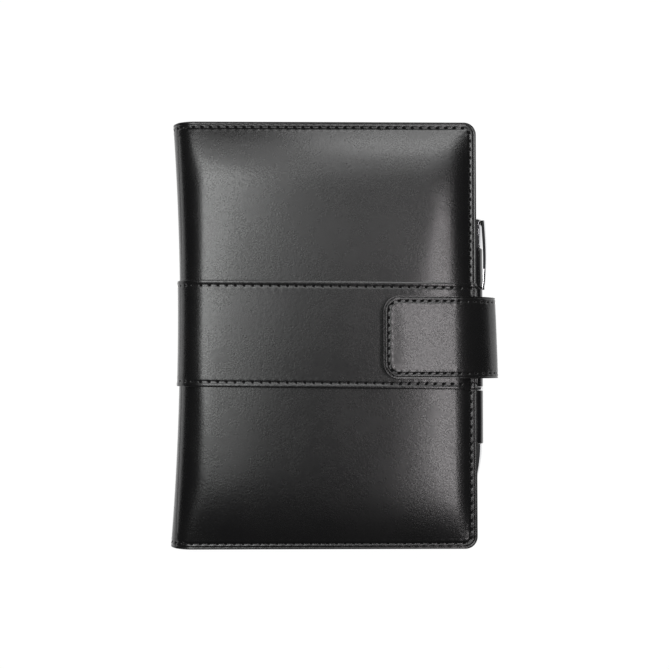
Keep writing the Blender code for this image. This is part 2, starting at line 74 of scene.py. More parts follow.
camera_data = bpy.data.cameras.new("camera")
camera_data.sensor_width = sensor
camera_data.lens = sensor / 2 / (frame_width / 2 / camera_distance)
camera = bpy.data.objects.new("camera", camera_data)
bpy.context.scene.collection.objects.link(camera)
look_back = Vector((-math.tan(towards_spine), -math.tan(towards_tail), 1.0)).normalized()
camera.location = (camera_aim + look_back * camera_distance) * MM
level = Vector((0.0, 1.0, 0.0)).cross(look_back).normalized()
camera.rotation_euler = Matrix((level, look_back.cross(level), look_back)).transposed().to_euler()
camera_data.clip_start = 0.01
camera_data.clip_end = 20.0
bpy.context.scene.camera = camera
print("camera: lens", round(camera_data.lens, 1), "mm")

# %% [markdown]
# ## Shader sums in plain Python
#
# A finish is a small network of nodes. Linking them by hand hides the idea, so one class wraps a socket
# and lets sums on it add the Math nodes. One method adds every other node.


# %% Shader helper
class Value:
    """A socket of a finish that can be added, scaled and mixed."""

    def __init__(self, tree, socket=None):
        self.tree = tree
        self.socket = socket

    def node(self, kind, settings=None, inputs=None, output=0):
        """Add one node: settings first, then the values or links of its sockets."""
        made = self.tree.nodes.new(kind)
        for key, value in (settings or {}).items():
            setattr(made, key, value)
        for key, value in (inputs or {}).items():
            if isinstance(value, Value):
                self.tree.links.new(value.socket, made.inputs[key])
            else:
                made.inputs[key].default_value = value
        return Value(self.tree, made.outputs[output])

    def sum_with(self, operation, first, second):
        return self.node("ShaderNodeMath", {"operation": operation}, {0: first, 1: second})

    def __add__(self, other):
        return self.sum_with("ADD", self, other)

    def __rsub__(self, other):
        return self.sum_with("SUBTRACT", other, self)

    def __mul__(self, other):
        return self.sum_with("MULTIPLY", self, other)

    __rmul__ = __mul__

    def steps(self, low, high, to_low=0.0, to_high=1.0):
        """A soft step of this value between two levels."""
        return self.node(
            "ShaderNodeMapRange",
            {"interpolation_type": "SMOOTHSTEP"},
            {"Value": self, "From Min": low, "From Max": high, "To Min": to_low, "To Max": to_high},
        )

    def pattern(self, kind, inputs, stretch=(1.0, 1.0, 1.0)):
        """A pattern on the piece's own coordinates, its scale in cells to the metre."""
        place = self.node("ShaderNodeTexCoord", output=3)
        place = self.node("ShaderNodeMapping", None, {"Vector": place, "Scale": stretch})
        return self.node(kind, None, {"Vector": place, **inputs})

    def noise(self, scale, detail=2.0, stretch=(1.0, 1.0, 1.0)):
        """Cloudy noise."""
        return self.pattern("ShaderNodeTexNoise", {"Scale": scale, "Detail": detail}, stretch)

    def cells(self, scale):
        """Distance to scattered cell centres, for grain."""
        return self.pattern("ShaderNodeTexVoronoi", {"Scale": scale})

    def mix(self, dark, light):
        """A colour between two, by this value."""
        return self.node(
            "ShaderNodeMix",
            {"data_type": "RGBA"},
            {0: self, 6: (*dark, 1.0), 7: (*light, 1.0)},
            output=2,
        )


def new_finish(name, fixed=None):
    """A new material with some fixed inputs of its shader, and a Value to build the rest from."""
    made = bpy.data.materials.new(name)
    made.use_nodes = True
    for key, level in (fixed or {}).items():
        made.node_tree.nodes["Principled BSDF"].inputs[key].default_value = level
    return made, Value(made.node_tree)


def connect(value, colour, roughness, height=None, bump=(0.5, 0.1), coat=None):
    """Link what varies over the surface; the bump's pair is its strength and its height in millimetres."""
    varied = {"Base Color": colour, "Roughness": roughness}
    if height is not None:
        raised = {"Strength": bump[0], "Distance": bump[1] * MM, "Height": height}
        varied["Normal"] = value.node("ShaderNodeBump", None, raised)
    if coat is not None:
        varied["Coat Weight"] = coat
    for key, source in varied.items():
        value.tree.links.new(source.socket, value.tree.nodes["Principled BSDF"].inputs[key])


print("shader helper ready")

# %% [markdown]
# ## Leather, lining and thread
#
# The cover is a smooth, lightly finished black leather: the grain is fine and shallow, and the sheen
# changes slowly over the hide. Noise alone looks like plaster, so the grain mixes noise with small cells,
# fine pores dull the polish, and broad noise moves the roughness. Inside the stitch holes it is matt.

# %% Leather finishes
cover_leather, value = new_finish("cover_leather", {"Coat Roughness": 0.16})
grain = value.noise(800.0, 2.0) + 0.3 * value.cells(1500.0).steps(0.05, 0.75)
pores = value.noise(1300.0, 1.0).steps(0.35, 0.65)
hide = value.noise(28.0, 3.0)
handling = value.noise(210.0, 2.0)
pierced = value.node("ShaderNodeAttribute", {"attribute_name": "pierced"}, output=2)
sheen = hide.steps(0.25, 0.75, 0.24, 0.28) + handling.steps(0.3, 0.7, -0.008, 0.008)
connect(
    value,
    colour=hide.mix((0.0050, 0.0050, 0.0055), (0.0080, 0.0078, 0.0078)),
    roughness=sheen + 0.02 * pores + 0.65 * pierced,
    height=grain,
    bump=(0.50, 0.11),
    coat=(0.43 - 0.24 * pores) * (1.0 - pierced),
)

lining_leather, value = new_finish("lining_leather")
grain = value.cells(900.0).steps(0.05, 0.8) + 0.4 * value.noise(2200.0, 2.0)
connect(
    value,
    colour=value.noise(40.0, 3.0).mix((0.012, 0.012, 0.013), (0.021, 0.020, 0.020)),
    roughness=value.noise(60.0).steps(0.3, 0.7, 0.58, 0.72),
    height=grain,
    bump=(0.4, 0.08),
)

sewing_thread, value = new_finish("sewing_thread", {"Specular IOR Level": 0.12})
connect(
    value,
    colour=value.noise(900.0).mix((0.003, 0.003, 0.003), (0.007, 0.007, 0.007)),
    roughness=value.noise(700.0).steps(0.3, 0.7, 0.75, 0.90),
    height=value.noise(4200.0, 2.0),
    bump=(0.5, 0.06),
)
print("leather finishes:", cover_leather.name, lining_leather.name, sewing_thread.name)

# %% [markdown]
# ## Paper, card, lacquer and metal
#
# The notebook and the pen need plain finishes that still have some life: leaves that show as fine lines
# on the cut edges, card with a slight tooth, lacquer with a clear coat, and plated metal with faint
# polishing marks.

# %% Notebook and pen finishes
paper, value = new_finish("paper")
leaves = value.noise(900.0, 2.0, stretch=(0.0, 0.0, 8.0)).steps(0.35, 0.65)
felt = value.noise(1400.0, 2.0)
connect(
    value,
    colour=(0.75 * leaves + 0.25 * felt).mix((0.72, 0.69, 0.61), (0.87, 0.85, 0.79)),
    roughness=felt.steps(0.3, 0.7, 0.78, 0.88),
    height=leaves + 0.2 * felt,
    bump=(0.6, 0.12),
)

black_card, value = new_finish("black_card")
tooth = value.noise(1500.0, 3.0)
connect(
    value,
    colour=value.noise(50.0).mix((0.016, 0.016, 0.017), (0.025, 0.025, 0.026)),
    roughness=tooth.steps(0.3, 0.7, 0.58, 0.70),
    height=tooth,
    bump=(0.3, 0.04),
)

grey_board, value = new_finish("grey_board")
fibre = value.noise(700.0, 4.0)
connect(
    value,
    colour=fibre.mix((0.24, 0.22, 0.19), (0.36, 0.33, 0.29)),
    roughness=fibre.steps(0.3, 0.7, 0.80, 0.92),
    height=fibre,
    bump=(0.4, 0.1),
)

pen_lacquer, value = new_finish("pen_lacquer", {"Coat Weight": 0.6, "Coat Roughness": 0.06})
connect(
    value,
    colour=value.noise(90.0).mix((0.006, 0.006, 0.007), (0.010, 0.010, 0.011)),
    roughness=value.noise(120.0).steps(0.3, 0.7, 0.20, 0.28),
)


def metal(name, scale, dark, light, dull, stretch=(1.0, 1.0, 1.0)):
    """Metal whose colour and polish follow one noise."""
    made, value = new_finish(name, {"Metallic": 1.0})
    marks = value.noise(scale, 2.0, stretch)
    connect(value, marks.mix(dark, light), marks.steps(0.3, 0.7, *dull))
    return made


drawn_out = (1.0, 0.06, 1.0)
pen_chrome = metal("pen_chrome", 700.0, (0.70, 0.70, 0.71), (0.80, 0.80, 0.81), (0.08, 0.15), drawn_out)
snap_nickel = metal("snap_nickel", 900.0, (0.52, 0.51, 0.49), (0.64, 0.63, 0.61), (0.24, 0.36))
refill_brass = metal("refill_brass", 300.0, (0.52, 0.40, 0.20), (0.68, 0.55, 0.31), (0.26, 0.40))
print("notebook and pen finishes:", len(bpy.data.materials), "materials in all")

# %% [markdown]
# ## The studio
#
# Black leather shows what it mirrors, so the lamps draw the picture: soft boxes on the left and on the
# right, each a dim wide one with a bright core, two past the head of the book and a faint one overhead.
# The floor is white to the camera and in reflections. The room behind is white to the camera only, so
# that the leather keeps its dark parts.


# %% Lamps
DOME = 1.3


def soft_box(name, turn, lean, size, level, tint, spin=0.0):
    """A lamp of even brightness on a dome over the book, its size given round the dome and up it."""
    lamp = bpy.data.lights.new(name, "AREA")
    lamp.shape = "RECTANGLE"
    lamp.size, lamp.size_y = size
    lamp.energy = level * math.pi * size[0] * size[1]
    lamp.color = tint
    box = bpy.data.objects.new(name, lamp)
    bpy.context.scene.collection.objects.link(box)
    around, tip = math.radians(turn), math.radians(lean)
    side = Vector((-math.sin(around), math.cos(around), 0.0))
    away = Vector((math.cos(around) * math.sin(tip), math.sin(around) * math.sin(tip), math.cos(tip)))
    side = Matrix.Rotation(math.radians(spin), 3, away) @ side
    box.location = away * DOME
    box.rotation_euler = Matrix((side, away.cross(side), away)).transposed().to_euler()


cool, warm, plain = (0.985, 1.0, 0.99), (1.0, 0.955, 0.97), (1.0, 1.0, 1.0)
soft_box("left_wide", 166.0, 18.5, (0.80, 0.56), 1.5, cool)
soft_box("left_core", 157.0, 20.6, (0.64, 0.26), 4.4, cool, 7.0)
soft_box("right_wide", -10.0, 15.5, (0.84, 0.30), 0.35, warm, 14.0)
soft_box("right_core", -10.5, 18.3, (0.72, 0.165), 7.7, warm, 14.0)
soft_box("head_wide", 104.0, 28.0, (1.2, 0.42), 1.6, plain)
soft_box("head_core", 73.0, 44.5, (0.66, 0.54), 3.5, plain, 32.0)
soft_box("over_box", 112.0, 14.0, (0.8, 0.5), 0.34, plain)
print("lamps:", len(bpy.data.lights), "soft boxes")

# %% Room and floor
WHITE = (1.0, 1.0, 1.0, 1.0)
TO_CAMERA, GLOSSY, TRANSMITTED = 0, 3, 6
world = bpy.data.worlds.new("studio")
world.use_nodes = True
value = Value(world.node_tree)
seen = value.node("ShaderNodeLightPath", output=TO_CAMERA)
dark_room = world.node_tree.nodes["Background"]
dark_room.inputs["Color"].default_value = (0.85, 0.86, 0.88, 1.0)
dark_room.inputs["Strength"].default_value = 0.05
white_wall = value.node("ShaderNodeBackground", None, {"Color": WHITE, "Strength": 1.0})
room = value.node("ShaderNodeMixShader", None, {0: seen, 2: white_wall})
world.node_tree.links.new(dark_room.outputs[0], room.socket.node.inputs[1])
world.node_tree.links.new(room.socket, world.node_tree.nodes["World Output"].inputs["Surface"])
bpy.context.scene.world = world
bpy.context.scene.view_settings.view_transform = "Standard"

floor_paint, value = new_finish("floor_paint", {"Base Color": (0.88, 0.88, 0.88, 1.0), "Roughness": 0.9})
seen, mirrored, through = (
    value.node("ShaderNodeLightPath", output=way) for way in (TO_CAMERA, GLOSSY, TRANSMITTED)
)
share = 0.96 * value.sum_with("MAXIMUM", seen, value.sum_with("MAXIMUM", mirrored, through))
glow = value.node("ShaderNodeEmission", None, {"Color": WHITE, "Strength": 1.03})
both = value.node("ShaderNodeMixShader", None, {0: share, 2: glow})
nodes, links = value.tree.nodes, value.tree.links
links.new(nodes["Principled BSDF"].outputs[0], both.socket.node.inputs[1])
links.new(both.socket, nodes["Material Output"].inputs["Surface"])

bpy.ops.object.select_all(action="DESELECT")
bpy.ops.mesh.primitive_plane_add(size=6.0, location=(0.0, 0.0, -0.0005))
floor = bpy.context.object
floor.name = "floor"
floor.data.materials.append(floor_paint)
print("studio: white room and floor")

# %% [markdown]
# ## Cutting leather flat
#
# Real leather goods are cut flat and then formed. The pieces here are made in the same order: a grid is
# laid out flat, the strips that will be sewn get more cuts, corners are rounded, Solidify gives the
# thickness, and last a rule puts every point where the formed leather lies.


# %% Flat cutting helpers
def only(piece):
    """Select one piece and make it the active one."""
    bpy.ops.object.select_all(action="DESELECT")
    piece.select_set(True)
    bpy.context.view_layer.objects.active = piece


def points_of(piece):
    """The piece's points in millimetres."""
    flat = np.empty(len(piece.data.vertices) * 3, np.float32)
    piece.data.vertices.foreach_get("co", flat)
    return flat.reshape(-1, 3).astype(float) / MM


def set_points(piece, points):
    """Write points in millimetres back to the piece."""
    piece.data.vertices.foreach_set("co", (points * MM).astype(np.float32).ravel())
    piece.data.update()


def apply_modifier(piece, kind, **settings):
    """Add one modifier, set it and apply it."""
    only(piece)
    bpy.ops.object.modifier_add(type=kind)
    made = piece.modifiers[-1]
    for key, setting in settings.items():
        setattr(made, key, setting)
    bpy.ops.object.modifier_apply(modifier=made.name)


def smooth(piece, degrees, finish):
    """Shade the piece smooth up to an angle and give it its finish."""
    only(piece)
    bpy.ops.object.shade_smooth_by_angle(angle=math.radians(degrees))
    piece.data.materials.append(finish)


def cut_flat(name, u_range, half, cell, fine=None, cuts=5):
    """A flat grid in its own u, v millimetres; faces where the fine rule holds are cut smaller."""
    bpy.ops.object.select_all(action="DESELECT")
    wide, long = u_range[1] - u_range[0], 2.0 * half
    across, along = max(1, round(wide / cell)), max(1, round(long / cell))
    bpy.ops.mesh.primitive_grid_add(x_subdivisions=across, y_subdivisions=along, size=1.0)
    piece = bpy.context.object
    piece.name = name
    piece.data.name = name
    points = points_of(piece) * MM
    points[:, 0] = u_range[0] + (points[:, 0] + 0.5) * wide
    points[:, 1] = -half + (points[:, 1] + 0.5) * long
    set_points(piece, points)
    if fine:
        bpy.context.tool_settings.mesh_select_mode = (False, False, True)
        middles = np.empty(len(piece.data.polygons) * 3, np.float32)
        piece.data.polygons.foreach_get("center", middles)
        chosen = fine(*(middles.reshape(-1, 3) / MM).T[:2])
        bpy.ops.object.mode_set(mode="EDIT")
        bpy.ops.mesh.select_all(action="DESELECT")
        bpy.ops.object.mode_set(mode="OBJECT")
        piece.data.polygons.foreach_set("select", np.asarray(chosen, bool))
        bpy.ops.object.mode_set(mode="EDIT")
        bpy.ops.mesh.subdivide(number_cuts=cuts)
        bpy.ops.object.mode_set(mode="OBJECT")
    return piece


def round_end(piece, u_end, half, radius):
    """Draw both square corners of one end of the flat piece in to round ones."""
    points = points_of(piece)
    inward = math.copysign(1.0, points[:, 0].mean() - u_end)
    side = np.sign(points[:, 1])
    a = 1.0 - (points[:, 0] - u_end) * inward / radius
    b = 1.0 - (half - np.abs(points[:, 1])) / radius
    inside = (a > 0.0) & (b > 0.0)
    a, b, side = a[inside], b[inside], side[inside]
    drawn_a = a * np.sqrt(1.0 - b * b / 2.0)
    drawn_b = b * np.sqrt(1.0 - a * a / 2.0)
    points[inside, 0] = u_end + (1.0 - drawn_a) * radius * inward
    points[inside, 1] = (half - (1.0 - drawn_b) * radius) * side
    set_points(piece, points)


def form(piece, rule, edge, finish):
    """Thicken the flat piece and lay it by a rule of u, v and 0 for the outer or 1 for the inner face."""
    apply_modifier(piece, "SOLIDIFY", thickness=MM, offset=-1.0)
    flat = points_of(piece)
    inner = (flat[:, 2] < -0.5).astype(float)
    x, y, z, *holes = rule(flat[:, 0], flat[:, 1], inner)
    set_points(piece, np.stack((x, y, z), axis=1))
    if holes:
        pierced = piece.data.attributes.new("pierced", "FLOAT", "POINT")
        pierced.data.foreach_set("value", (holes[0] * (1.0 - inner)).astype(np.float32))
    shape = bmesh.new()
    shape.from_mesh(piece.data)
    inside_out = shape.calc_volume(signed=True) < 0.0
    shape.free()
    if inside_out:
        piece.data.flip_normals()
    sharp = math.radians(65)
    apply_modifier(piece, "BEVEL", width=edge * MM, segments=3, limit_method="ANGLE", angle_limit=sharp)
    smooth(piece, 50, finish)
    return piece


def tell(piece):
    """Print what was made."""
    print(piece.name, len(piece.data.polygons), "faces")


def ease(share):
    """A soft step from 0 to 1."""
    share = np.clip(share, 0.0, 1.0)
    return share * share * (3.0 - 2.0 * share)


print("flat cutting helpers ready")

# %% [markdown]
# ## Seams
#
# A seam is a line on the flat leather with holes at an even pitch. It does three things: it presses the
# leather down along the line, pulls it in at every hole so that the edge puckers, and carries the
# thread. One class holds the line, so that the leather and the thread always agree.


# %% Seam helper
SEAM_REACH, SEAM_STEP = 6.0, 0.2
PRESS_WIDE = 0.60
EDGE_AT, EDGE_WIDE = 1.2, 0.55
PUCKER_AT, PUCKER_WIDE = -1.3, 0.7


class Seam:
    """A sewn line on flat leather, its edge side on the left of the line's run."""

    def __init__(self, corners, pitch):
        corners = np.array(corners, float)
        path = [corners[0]]
        for start, end in zip(corners[:-1], corners[1:]):
            count = max(1, int(np.hypot(*(end - start)) / SEAM_STEP))
            path += [start + (end - start) * step / count for step in range(1, count + 1)]
        self.path = np.array(path)
        moves = np.diff(self.path, axis=0)
        self.run = np.concatenate([[0.0], np.cumsum(np.hypot(moves[:, 0], moves[:, 1]))])
        self.length = self.run[-1]
        self.count = round(self.length / pitch)
        self.pitch = self.length / self.count
        ahead = np.gradient(self.path, axis=0)
        self.ahead = ahead / np.hypot(ahead[:, 0], ahead[:, 1])[:, None]
        self.tree = KDTree(len(self.path))
        for number, (u, v) in enumerate(self.path):
            self.tree.insert((u, v, 0.0), number)
        self.tree.balance()

    def near(self, u, v):
        """For each point, how far it is to the edge side of the line and how far along."""
        across = np.full(len(u), 99.0)
        along = np.zeros(len(u))
        low, high = self.path.min(axis=0) - SEAM_REACH, self.path.max(axis=0) + SEAM_REACH
        close = np.nonzero((u > low[0]) & (u < high[0]) & (v > low[1]) & (v < high[1]))[0]
        for number in close:
            _, nearest, gap = self.tree.find((u[number], v[number], 0.0))
            if gap < SEAM_REACH:
                away = (u[number] - self.path[nearest][0], v[number] - self.path[nearest][1])
                ahead = self.ahead[nearest]
                across[number] = math.copysign(gap, ahead[0] * away[1] - ahead[1] * away[0])
                along[number] = self.run[nearest] + away[0] * ahead[0] + away[1] * ahead[1]
        return across, along

    def relief(self, u, v, press=0.07, hole=0.55, rim=0.15, pucker=0.06, size=(0.60, 0.45)):
        """How the sewing moves the leather's face, and how much of each point is inside a hole."""
        across, along = self.near(u, v)
        phase = along / self.pitch
        to_hole = (phase - np.round(phase)) * self.pitch
        between = 0.5 - 0.5 * np.cos(2.0 * math.pi * phase)
        slot = np.exp(-((across / size[1]) ** 4) - (to_hole / size[0]) ** 4)
        height = -press * np.exp(-((across / PRESS_WIDE) ** 2)) - hole * slot
        height += rim * np.exp(-(((across - EDGE_AT) / EDGE_WIDE) ** 2)) * (0.35 + 0.65 * between)
        height += pucker * np.exp(-(((across - PUCKER_AT) / PUCKER_WIDE) ** 2)) * between
        return height, slot

    def place(self, along):
        """Points on the line and the directions ahead, for runs along it."""
        return [np.interp(along, self.run, row) for row in (*self.path.T, *self.ahead.T)]


def arc(u, v, radius, start, steps=10):
    """Points of a rounded corner about a middle, a quarter turn back from an angle in degrees."""
    turns = [math.radians(start - 90.0 * step / steps) for step in range(steps + 1)]
    return [(u + radius * math.cos(turn), v + radius * math.sin(turn)) for turn in turns]


def round_path(start, middle, radius, turned=0.0):
    """A line round both corners of an end: from its start, about a corner's middle, and back alike."""
    (u, v), (middle_u, middle_v) = start, middle
    path = [start] + arc(middle_u, middle_v, radius, turned + 90.0)
    return path + arc(middle_u, -middle_v, radius, turned) + [(u, -v)]


def side_rows(start, end, aside, pitch):
    """Two straight seams, along both sides of a strip."""
    there, back = [(start, aside), (end, aside)], [(end, -aside), (start, -aside)]
    return [Seam(there, pitch), Seam(back, pitch)]


def sewn_rows(seams, u, v, **pull):
    """The relief and the holes of several seams together."""
    rows = [seam.relief(u, v, **pull) for seam in seams]
    return sum(height for height, _ in rows), sum(holes for _, holes in rows)


print("seam helper ready")

# %% [markdown]
# ## The stitch
#
# Waxed thread comes up through each hole of a seam and dives back into the leather. The stitch is
# modelled once, as a short six-sided rod with thinner, sunken ends, and laid across every hole.

# %% One stitch
bpy.ops.object.select_all(action="DESELECT")
bpy.ops.mesh.primitive_cylinder_add(vertices=6, radius=1.0, depth=1.0, location=(0.0, 0.0, 0.0))
stitch = bpy.context.object
stitch.name = "stitch_pattern"
bpy.ops.object.mode_set(mode="EDIT")
for height in (-0.35, -0.15, 0.15, 0.35):
    bpy.ops.mesh.select_all(action="SELECT")
    bpy.ops.mesh.bisect(plane_co=(0.0, 0.0, height), plane_no=(0.0, 0.0, 1.0))
bpy.ops.object.mode_set(mode="OBJECT")
stitch_points = points_of(stitch) * MM
stitch_faces = [list(face.vertices) for face in stitch.data.polygons]
bpy.data.objects.remove(stitch, do_unlink=True)
THREAD, STITCH_LENGTH, STITCH_SLANT, STITCH_DIVE = 0.30, 1.4, 0.16, 0.3


def sew(name, seams, face, sunk=0.42):
    """Lay the stitch in each hole of the seams on a formed face, all in one piece."""
    points, faces = [], []
    share = stitch_points[:, 2] + 0.5
    arch = np.sin(math.pi * share) ** 0.7
    wide = THREAD * (0.65 + 0.35 * np.sin(math.pi * share))
    sideways = stitch_points[:, 0] * wide + STITCH_SLANT * (share - 0.5)
    lift = stitch_points[:, 1] * wide * 0.8 - sunk - STITCH_DIVE + STITCH_DIVE * arch
    for seam in seams:
        for number in range(1, seam.count):
            u, v, ahead_u, ahead_v = seam.place(number * seam.pitch + STITCH_LENGTH * (share - 0.5))
            placed = face(u - ahead_v * sideways, v + ahead_u * sideways, lift)
            faces += [[corner + len(points) * len(share) for corner in one] for one in stitch_faces]
            points.append(np.stack(placed, axis=1))
    data = bpy.data.meshes.new(name)
    data.from_pydata((np.concatenate(points) * MM).tolist(), [], faces)
    piece = bpy.data.objects.new(name, data)
    bpy.context.scene.collection.objects.link(piece)
    shape = bmesh.new()
    shape.from_mesh(data)
    bmesh.ops.recalc_face_normals(shape, faces=shape.faces)
    shape.to_mesh(data)
    shape.free()
    smooth(piece, 60, sewing_thread)
    return piece


print("stitch:", len(stitch_faces), "faces")

# %% [markdown]
# ## The cover's shape
#
# Seen from the head, the leather runs flat over the back, round the spine and flat over the front. The
# front half is worked out here and the back half is its mirror image. The padding swells up from the
# stitched rim, at the fore edge in two steps, a quick one and a slow one. It sinks a little beside the
# spine, and the strap's pull draws the middle of the spine in.

# %% Shape of the covers
PANEL = 146.6
CREASE_X = -73.3
HALF_LENGTH = 110.0
CORNER = 6.3
MIDDLE_Z = 15.3
CROWN = 3.8
RIM = 2.9
FORE_INSET = 0.4
FORE_SHARE = 0.45
FORE_STEP = ((-20.0, 30.0), (7.5, 9.5))
FORE_ROLL = ((-40.0, 10.0, 60.0, 110.0), (45.0, 35.0, 23.0, 19.0))
END_ROLL = (48.0, 40.0)
SADDLE = 1.6
SADDLE_FROM, SADDLE_RUN = 2.0, 18.0
SPINE_HALF = 10.3
SPINE_REACH = 11.8
SPINE_DRAW = 4.1
SPINE_FOLD = -17.3
SPINE_SEAM = SPINE_FOLD / 2
SHOULDER = (1.2, 6.3)
SHOULDER_ENDS = (3.0, 32.0)
TAIL_SHOULDER, TAIL_RUN = 1.6, 50.0
WAVE = 0.045
LEATHER = 1.2
BAND_HALF = 27.35
BAND_SLANT = math.tan(math.radians(0.6))


def swell(share, power):
    """Padding that leaves the seam steeply and flattens out on the crown."""
    return 1.0 - (1.0 - np.clip(share, 0.0, 1.0)) ** power


def fullness(u, v):
    """How full the padding is, from 0 on the rim to 1 on the crown."""
    inside = PANEL - u - RIM - FORE_INSET
    fore = FORE_SHARE * swell(inside / np.interp(v, *FORE_STEP), 2.0)
    fore += (1.0 - FORE_SHARE) * swell(inside / np.interp(v, *FORE_ROLL), 2.0)
    inside = HALF_LENGTH - np.abs(v) - RIM
    return fore * swell(inside / np.where(v < 0.0, *END_ROLL), 3.0)


def unevenness(u, v):
    """Slow waves of hand-laid leather, a few hundredths of a millimetre."""
    waves = np.sin(u / 13.0 + 1.3) * np.sin(v / 17.0 + 0.4) + np.sin((u + v) / 23.0 + 2.0)
    waves += 0.5 * np.sin(u / 7.1 + v / 31.0) * np.sin(v / 9.7 + 0.9)
    return WAVE * waves


def front_face(u, v, lift, padded=1.0):
    """A point of the front half of the cover, lifted off the leather's outer face."""
    full = padded * fullness(u, v)
    inwards = ease((HALF_LENGTH - np.abs(v) - SHOULDER_ENDS[0]) / SHOULDER_ENDS[1])
    fuller = SHOULDER[1] - SHOULDER[0] + TAIL_SHOULDER * ease(-v / TAIL_RUN)
    shoulder = SHOULDER[0] + fuller * padded * inwards
    turn = math.pi / 2 * np.clip((shoulder - u) / (shoulder - SPINE_FOLD), 0.0, None)
    drawn = SPINE_DRAW * (1.0 - (v / HALF_LENGTH) ** 2)
    sunk = SADDLE * np.exp(-np.clip(u - SADDLE_FROM, 0.0, None) / SADDLE_RUN)
    x = CREASE_X + np.maximum(u, shoulder) - (SPINE_REACH + shoulder - drawn + lift) * np.sin(turn)
    z = MIDDLE_Z + (SPINE_HALF + (CROWN - sunk) * full + lift) * np.cos(turn)
    return x, v, z


def back_face(u, v, lift, padded=1.0):
    """The same point on the back half."""
    x, y, z = front_face(u, v, lift, padded)
    return x, y, 2.0 * MIDDLE_Z - z


def spine_face(u, v, lift, padded=1.0):
    """A point of the spine's middle, its u counted from the fold, below it negative."""
    x, y, z = front_face(SPINE_FOLD + np.abs(u), v, lift, padded)
    return x, y, np.where(u < 0.0, 2.0 * MIDDLE_Z - z, z)


def bend(piece, half, lift=0.0, padded=1.0):
    """Bake the transform of a piece of the front, the back or the spine's middle into its mesh."""
    joins = [front_face(np.array([SPINE_SEAM]), v, lift, padded) for v in (0.0, HALF_LENGTH)]
    if half == "spine":
        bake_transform(piece)
        return
    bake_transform(piece)


def to_outline(to_end, aside, corner):
    """Distance to an outline with one rounded end, from the distances to its end and its sides."""
    rounded = corner - np.hypot(corner - to_end, corner - aside)
    return np.where((to_end < corner) & (aside < corner), rounded, np.minimum(to_end, aside))


def creased(edge, inset=1.2, depth=0.30):
    """The line pressed in just inside a cut edge."""
    return -depth * np.exp(-(((edge - inset) / 0.24) ** 2))


FACES = {"front": front_face, "back": back_face, "spine": spine_face}
print("cover:", PANEL, "mm panel,", 2 * HALF_LENGTH, "mm long")

# %% [markdown]
# ## The leather of the covers
#
# Each cover is one padded piece: leather outside, foam under it, the stiffening board behind. Front,
# spine and back are laid as three pieces, because each may bend at one crease only. The sewn rim is cut
# finely so that the holes and puckers show.

# %% Cover leather
STITCH_PITCH = 4.35
RIM_WIDE = 6.0
RIM_PULL = {"press": 0.17, "size": (0.66, 0.46)}
COVER_EDGE = 0.38
CUT_EDGE = 0.5
BOARD_INSET, BOARD_START, BOARD_EASE, BOARD_ROOM = 5.2, 3.8, 2.0, 1.5
SHOULDER_FROM, SHOULDER_RUN = -2.0, 8.0
rim_middle = (PANEL - CORNER - FORE_INSET, HALF_LENGTH - CORNER)
rim_seam = Seam(round_path((SPINE_SEAM, HALF_LENGTH - RIM), rim_middle, CORNER - RIM), STITCH_PITCH)
spine_seams = side_rows(SPINE_SEAM, -SPINE_SEAM, HALF_LENGTH - RIM, STITCH_PITCH)


def on_rim(u, v):
    """Whether a point of a cover lies on the strip that is sewn."""
    return (PANEL - u < RIM_WIDE) | (HALF_LENGTH - np.abs(v) < RIM_WIDE)


def lay_cover(half):
    """One padded cover with its half of the crease."""
    face = FACES[half]
    piece = cut_flat(half + "_cover_leather", (SPINE_SEAM, PANEL), HALF_LENGTH, 2.4, on_rim, 6)
    round_end(piece, PANEL, HALF_LENGTH, CORNER)

    def rule(u, v, inner):
        sewn, holes = rim_seam.relief(u, v, **RIM_PULL)
        edge = to_outline(PANEL - u, HALF_LENGTH - np.abs(v), CORNER)
        holes = np.maximum(holes, 0.9 * (edge < CUT_EDGE))
        sewn = sewn + creased(edge) + unevenness(u, v) * fullness(u, v)
        over_board = ease((edge - BOARD_INSET) / BOARD_EASE) * ease((u - BOARD_START) / BOARD_EASE)
        outer = np.array([*face(u, v, sewn), holes])
        beside = 1.0 - ease((u - SHOULDER_FROM) / SHOULDER_RUN)
        hidden = np.array([*face(u, v, -LEATHER + BOARD_ROOM * over_board, beside), holes])
        return outer * (1.0 - inner) + hidden * inner

    form(piece, rule, COVER_EDGE, cover_leather)
    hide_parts(half + "_leather", half + "_foam")
    bend(piece, half)
    thread = sew(half + "_cover_stitches", [rim_seam], face)
    bend(thread, half)
    return piece


for half in ("front", "back"):
    tell(lay_cover(half))

# %% Spine leather
spine_run = (SPINE_SEAM, -SPINE_SEAM)
spine_leather = cut_flat("spine_leather", spine_run, HALF_LENGTH, 1.5, on_rim, 3)


def spine_leather_rule(u, v, inner):
    sewn, holes = sewn_rows(spine_seams, u, v)
    sewn = sewn + creased(HALF_LENGTH - np.abs(v))
    return *spine_face(u, v, sewn * (1.0 - inner) - LEATHER * inner), holes


form(spine_leather, spine_leather_rule, COVER_EDGE, cover_leather)
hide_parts("spine_lower_leather", "spine_upper_leather")
bend(spine_leather, "spine")
spine_stitches = sew("spine_stitches", spine_seams, spine_face)
bend(spine_stitches, "spine")
tell(spine_leather)

# %% [markdown]
# ## The lining
#
# A thinner matt leather lines the inside, cut to the same outline and sewn through the rim. It is flat
# over the boards and follows the spine, a hair's breadth under the outer leather.

# %% Lining
LINING = 0.7
LINING_LIFT = -LEATHER - 0.3


